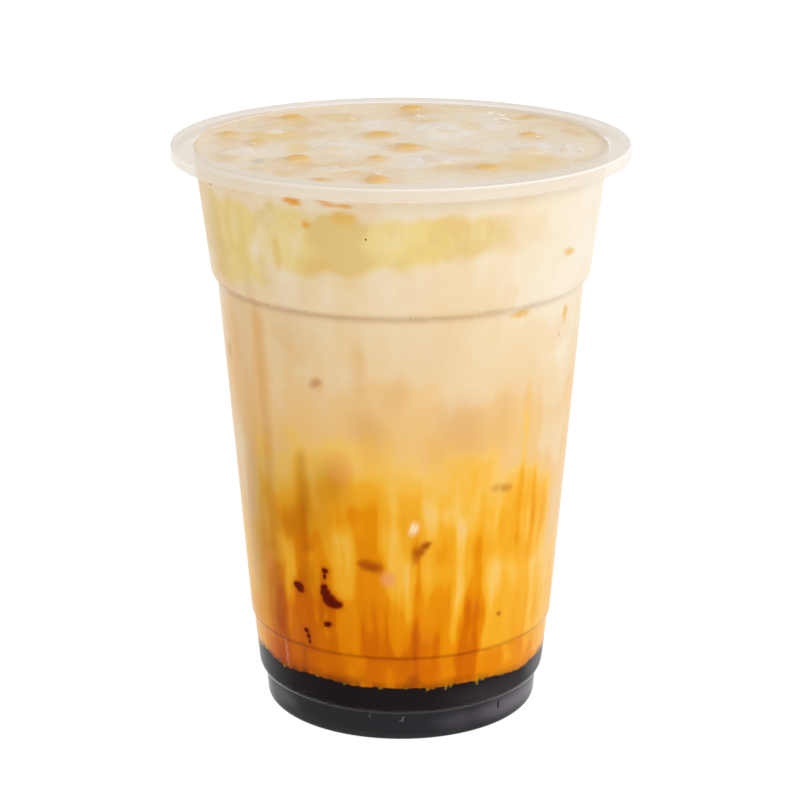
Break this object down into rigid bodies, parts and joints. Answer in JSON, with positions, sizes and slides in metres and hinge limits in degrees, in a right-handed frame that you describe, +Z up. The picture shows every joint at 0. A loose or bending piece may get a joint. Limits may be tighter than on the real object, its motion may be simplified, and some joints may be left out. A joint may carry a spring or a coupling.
{
  "type": "iced milk tea in a clear cup",
  "caption": "Clear tapered plastic cup with a flat rim flange, filled to the brim with layered milk tea: dark at the bottom, amber streaks, pale milk, ice and amber beads on top.",
  "frame": {"origin": "middle of the cup's underside, on the surface it stands on", "axes": "+Z up along the cup's axis, -Y towards the viewer of the picture, +X to the right"},
  "size_m": [0.095, 0.095, 0.1221],
  "materials": {
    "cup_clear": "clear moulded plastic, faintly milky, glossy",
    "dark_drink": "opaque dark syrup and tea, glossy",
    "amber_drink": "cloudy amber tea with vertical streaks",
    "milk_drink": "opaque milk tea, pale cream with a yellow tinge near the top",
    "ice": "wet cloudy ice coated with milk tea",
    "amber_jelly": "wet translucent amber jelly"
  },
  "bodies": {
    "root": {"cup": "cup_clear", "dark_layer": "dark_drink", "amber_layer": "amber_drink", "milk_layer": "milk_drink", "ice_01": "ice", "ice_02": "ice", "ice_03": "ice", "ice_04": "ice", "ice_05": "ice", "ice_06": "ice", "ice_07": "ice", "ice_08": "ice", "ice_09": "ice", "amber_bead_01": "amber_jelly", "amber_bead_02": "amber_jelly", "amber_bead_03": "amber_jelly", "amber_bead_04": "amber_jelly", "amber_bead_05": "amber_jelly", "amber_bead_06": "amber_jelly", "amber_bead_07": "amber_jelly", "amber_bead_08": "amber_jelly", "amber_bead_09": "amber_jelly", "amber_bead_10": "amber_jelly", "amber_bead_11": "amber_jelly", "amber_bead_12": "amber_jelly"}
  },
  "joints": []
}
